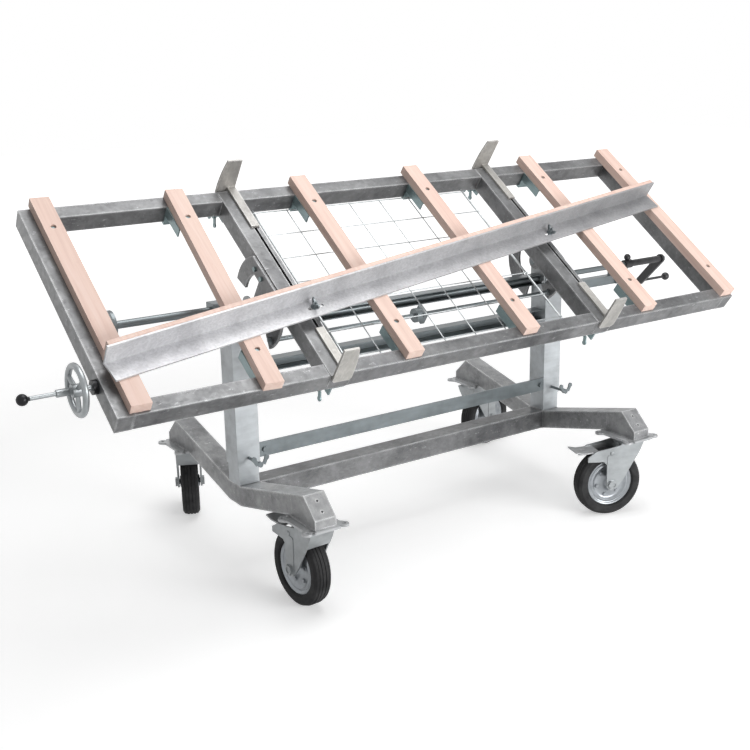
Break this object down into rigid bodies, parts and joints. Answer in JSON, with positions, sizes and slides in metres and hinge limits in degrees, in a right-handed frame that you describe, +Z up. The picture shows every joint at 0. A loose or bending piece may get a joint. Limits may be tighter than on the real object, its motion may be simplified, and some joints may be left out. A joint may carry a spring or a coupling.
{
  "type": "countertop transport trolley",
  "caption": "Wheeled steel trolley with a tilting, height-adjustable frame of wooden battens, hooks and a stop for carrying countertops and slabs.",
  "frame": {"origin": "on the floor, on the line of the two columns and midway between them, at the floor_point mount", "axes": "+X along the table towards the crank, +Y towards the raised edge of the table, +Z up"},
  "size_m": [2.356, 0.9483, 1.0619],
  "materials": {
    "galvanised": "hot-dip galvanised, spangled",
    "zinc_plated": "bright zinc-plated steel",
    "wood": "planed beech",
    "tyre": "black solid rubber",
    "black": "black coating"
  },
  "bodies": {
    "root": {"spine_beam": "galvanised", "left_legs": "galvanised", "right_legs": "galvanised", "left_post": "zinc_plated", "right_post": "zinc_plated", "caster_plates": "zinc_plated"},
    "lift": {"left_sleeve": "zinc_plated", "right_sleeve": "zinc_plated", "brace_bar": "zinc_plated", "lift_channel": "zinc_plated", "tie_beam": "zinc_plated", "crank_bracket": "zinc_plated", "pivot_shafts": "zinc_plated", "bearing_plates": "zinc_plated", "sleeve_screws": "zinc_plated"},
    "crank": {"cross_shaft": "zinc_plated", "crank_arm": "black", "crank_grip": "black"},
    "spindle_left": {"left_spindle": "zinc_plated"},
    "spindle_right": {"right_spindle": "zinc_plated"},
    "table": {"long_rails": "galvanised", "end_rails": "galvanised", "cross_rails": "galvanised", "tilt_quadrants": "galvanised", "mesh_panel": "zinc_plated", "end_battens": "wood", "frame_fasteners": "zinc_plated", "tie_rod": "zinc_plated"},
    "stop": {"stop_angle": "galvanised", "stop_strips": "wood", "stop_screws": "zinc_plated"},
    "hand_wheel": {"handwheel": "zinc_plated"},
    "sliding_batten_2": {"batten_2": "wood", "batten_2_clamps": "zinc_plated"},
    "sliding_batten_3": {"batten_3": "wood", "batten_3_clamps": "zinc_plated"},
    "sliding_batten_4": {"batten_4": "wood", "batten_4_clamps": "zinc_plated"},
    "sliding_batten_5": {"batten_5": "wood", "batten_5_clamps": "zinc_plated"},
    "front_left_hook_body": {"front_left_hook": "galvanised"},
    "front_right_hook_body": {"front_right_hook": "galvanised"},
    "back_left_hook_body": {"back_left_hook": "galvanised"},
    "back_right_hook_body": {"back_right_hook": "galvanised"},
    "front_left_caster": {"front_left_fork": "zinc_plated"},
    "front_left_wheel": {"front_left_wheel_disc": "zinc_plated", "front_left_tyre": "tyre"},
    "front_left_brake": {"front_left_brake_pedal": "zinc_plated"},
    "front_right_caster": {"front_right_fork": "zinc_plated"},
    "front_right_wheel": {"front_right_wheel_disc": "zinc_plated", "front_right_tyre": "tyre"},
    "front_right_brake": {"front_right_brake_pedal": "zinc_plated"},
    "back_left_caster": {"back_left_fork": "zinc_plated"},
    "back_left_wheel": {"back_left_wheel_disc": "zinc_plated", "back_left_tyre": "tyre"},
    "back_left_brake": {"back_left_brake_pedal": "zinc_plated"},
    "back_right_caster": {"back_right_fork": "zinc_plated"},
    "back_right_wheel": {"back_right_wheel_disc": "zinc_plated", "back_right_tyre": "tyre"},
    "back_right_brake": {"back_right_brake_pedal": "zinc_plated"}
  },
  "joints": [
    {"name": "front_left_swivel", "type": "hinge", "parent": "root", "child": "front_left_caster", "pos_m": [-0.537, -0.355, 0.22], "axis": [0, 0, 1], "continuous": true},
    {"name": "front_left_roll", "type": "hinge", "parent": "front_left_caster", "child": "front_left_wheel", "pos_m": [-0.54004, -0.29708, 0.1], "axis": [-0.9986, -0.0523, 0], "continuous": true},
    {"name": "front_left_brake_press", "type": "hinge", "parent": "front_left_caster", "child": "front_left_brake", "pos_m": [-0.54019, -0.29408, 0.196], "axis": [-0.9986, -0.0523, 0], "range_deg": [0, 8]},
    {"name": "front_right_swivel", "type": "hinge", "parent": "root", "child": "front_right_caster", "pos_m": [0.537, -0.355, 0.22], "axis": [0, 0, 1], "continuous": true},
    {"name": "front_right_roll", "type": "hinge", "parent": "front_right_caster", "child": "front_right_wheel", "pos_m": [0.48203, -0.3365, 0.1], "axis": [-0.319, -0.9478, 0], "continuous": true},
    {"name": "front_right_brake_press", "type": "hinge", "parent": "front_right_caster", "child": "front_right_brake", "pos_m": [0.47919, -0.33554, 0.196], "axis": [-0.319, -0.9478, 0], "range_deg": [0, 8]},
    {"name": "back_left_swivel", "type": "hinge", "parent": "root", "child": "back_left_caster", "pos_m": [-0.537, 0.355, 0.22], "axis": [0, 0, 1], "continuous": true},
    {"name": "back_left_roll", "type": "hinge", "parent": "back_left_caster", "child": "back_left_wheel", "pos_m": [-0.51249, 0.40757, 0.1], "axis": [-0.9063, 0.4226, 0], "continuous": true},
    {"name": "back_left_brake_press", "type": "hinge", "parent": "back_left_caster", "child": "back_left_brake", "pos_m": [-0.51122, 0.41029, 0.196], "axis": [-0.9063, 0.4226, 0], "range_deg": [0, 8]},
    {"name": "back_right_swivel", "type": "hinge", "parent": "root", "child": "back_right_caster", "pos_m": [0.537, 0.355, 0.22], "axis": [0, 0, 1], "continuous": true},
    {"name": "back_right_roll", "type": "hinge", "parent": "back_right_caster", "child": "back_right_wheel", "pos_m": [0.59429, 0.36407, 0.1], "axis": [-0.1564, 0.9877, 0], "continuous": true},
    {"name": "back_right_brake_press", "type": "hinge", "parent": "back_right_caster", "child": "back_right_brake", "pos_m": [0.59725, 0.36454, 0.196], "axis": [-0.1564, 0.9877, 0], "range_deg": [0, 8]},
    {"name": "lift_slide", "type": "slide", "parent": "root", "child": "lift", "axis": [0, 0, 1], "range_m": [-0.04, 0.2]},
    {"name": "crank_turn", "type": "hinge", "parent": "lift", "child": "crank", "pos_m": [0.7, 0, 0.652], "axis": [1, 0, 0], "range_deg": [-1440.5, 7200.5]},
    {"name": "left_spindle_turn", "type": "hinge", "parent": "lift", "child": "spindle_left", "pos_m": [-0.537, 0, 0.5], "axis": [0, 0, 1], "range_deg": [-1440.5, 7200.5]},
    {"name": "right_spindle_turn", "type": "hinge", "parent": "lift", "child": "spindle_right", "pos_m": [0.537, 0, 0.5], "axis": [0, 0, 1], "range_deg": [-7200.5, 1440.5]},
    {"name": "table_tilt", "type": "hinge", "parent": "lift", "child": "table", "pos_m": [0, 0, 0.708], "axis": [1, 0, 0], "range_deg": [-35, 50]},
    {"name": "stop_slide", "type": "slide", "parent": "table", "child": "stop", "axis": [0, 0.8192, 0.5736], "range_m": [-0.03, 0.1]},
    {"name": "handwheel_turn", "type": "hinge", "parent": "table", "child": "hand_wheel", "pos_m": [-1, -0.22659, 0.63235], "axis": [1, 0, 0], "continuous": true},
    {"name": "batten_2_slide", "type": "slide", "parent": "table", "child": "sliding_batten_2", "axis": [1, 0, 0], "range_m": [-0.09, 0.06]},
    {"name": "batten_3_slide", "type": "slide", "parent": "table", "child": "sliding_batten_3", "axis": [1, 0, 0], "range_m": [-0.09, 0.12]},
    {"name": "batten_4_slide", "type": "slide", "parent": "table", "child": "sliding_batten_4", "axis": [1, 0, 0], "range_m": [-0.12, 0.12]},
    {"name": "batten_5_slide", "type": "slide", "parent": "table", "child": "sliding_batten_5", "axis": [1, 0, 0], "range_m": [-0.05, 0.16]},
    {"name": "front_left_hook_slide", "type": "slide", "parent": "table", "child": "front_left_hook_body", "axis": [0, -0.8192, -0.5736], "range_m": [0, 0.08]},
    {"name": "front_right_hook_slide", "type": "slide", "parent": "table", "child": "front_right_hook_body", "axis": [0, -0.8192, -0.5736], "range_m": [0, 0.08]},
    {"name": "back_left_hook_slide", "type": "slide", "parent": "table", "child": "back_left_hook_body", "axis": [0, 0.8192, 0.5736], "range_m": [0, 0.08]},
    {"name": "back_right_hook_slide", "type": "slide", "parent": "table", "child": "back_right_hook_body", "axis": [0, 0.8192, 0.5736], "range_m": [0, 0.08]}
  ],
  "couplings": [
    {"joint": "crank_turn", "follows": "lift_slide", "rad_per_m": 628.32},
    {"joint": "left_spindle_turn", "follows": "lift_slide", "rad_per_m": 628.32},
    {"joint": "right_spindle_turn", "follows": "lift_slide", "rad_per_m": -628.32}
  ]
}
